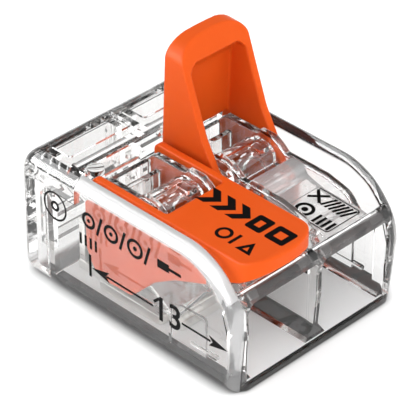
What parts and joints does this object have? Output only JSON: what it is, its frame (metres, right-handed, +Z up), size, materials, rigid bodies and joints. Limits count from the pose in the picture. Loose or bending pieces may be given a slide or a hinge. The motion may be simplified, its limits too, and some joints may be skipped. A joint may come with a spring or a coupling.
{
  "type": "lever wire connector",
  "caption": "Clear lever wire connector with orange clamping levers that open and close over spring clamps on a shared busbar.",
  "frame": {"origin": "centre of the bottom, on the surface that the connector rests on", "axes": "+X to the right seen from the wire mouths, +Y from the wire mouths to the rear cover, +Z up"},
  "size_m": [0.016, 0.0208, 0.0176],
  "materials": {
    "clear_plastic": "clear moulded polycarbonate, polished",
    "orange_plastic": "orange moulded plastic, satin",
    "tinned_copper": "tin plated, satin",
    "spring_steel": "rolled stainless strip"
  },
  "bodies": {
    "body": {"housing": "clear_plastic", "rear_cover": "clear_plastic", "busbar": "tinned_copper", "spring_frame_left": "spring_steel", "spring_frame_right": "spring_steel"},
    "lever_left": {"lever_left": "orange_plastic"},
    "lever_right": {"lever_right": "orange_plastic"},
    "clamp_left": {"spring_leg_left": "spring_steel"},
    "clamp_right": {"spring_leg_right": "spring_steel"}
  },
  "joints": [
    {"name": "open_left_lever", "type": "hinge", "parent": "body", "child": "lever_left", "pos_m": [-0.00345, 0.00128, 0.00586], "axis": [-1, 0, 0], "range_deg": [0, 87.4]},
    {"name": "close_right_lever", "type": "hinge", "parent": "body", "child": "lever_right", "pos_m": [0.00345, 0.00128, 0.00586], "axis": [1, 0, 0], "range_deg": [0, 87.4]},
    {"name": "lift_left_clamp", "type": "hinge", "parent": "body", "child": "clamp_left", "pos_m": [-0.00345, 0.0043, 0.0056], "axis": [-1, 0, 0], "range_deg": [0, 26]},
    {"name": "drop_right_clamp", "type": "hinge", "parent": "body", "child": "clamp_right", "pos_m": [0.00345, 0.0043, 0.0056], "axis": [1, 0, 0], "range_deg": [0, 26]}
  ],
  "couplings": [
    {"joint": "lift_left_clamp", "follows": "open_left_lever", "ratio": 0.2974},
    {"joint": "drop_right_clamp", "follows": "close_right_lever", "ratio": 0.2974}
  ]
}
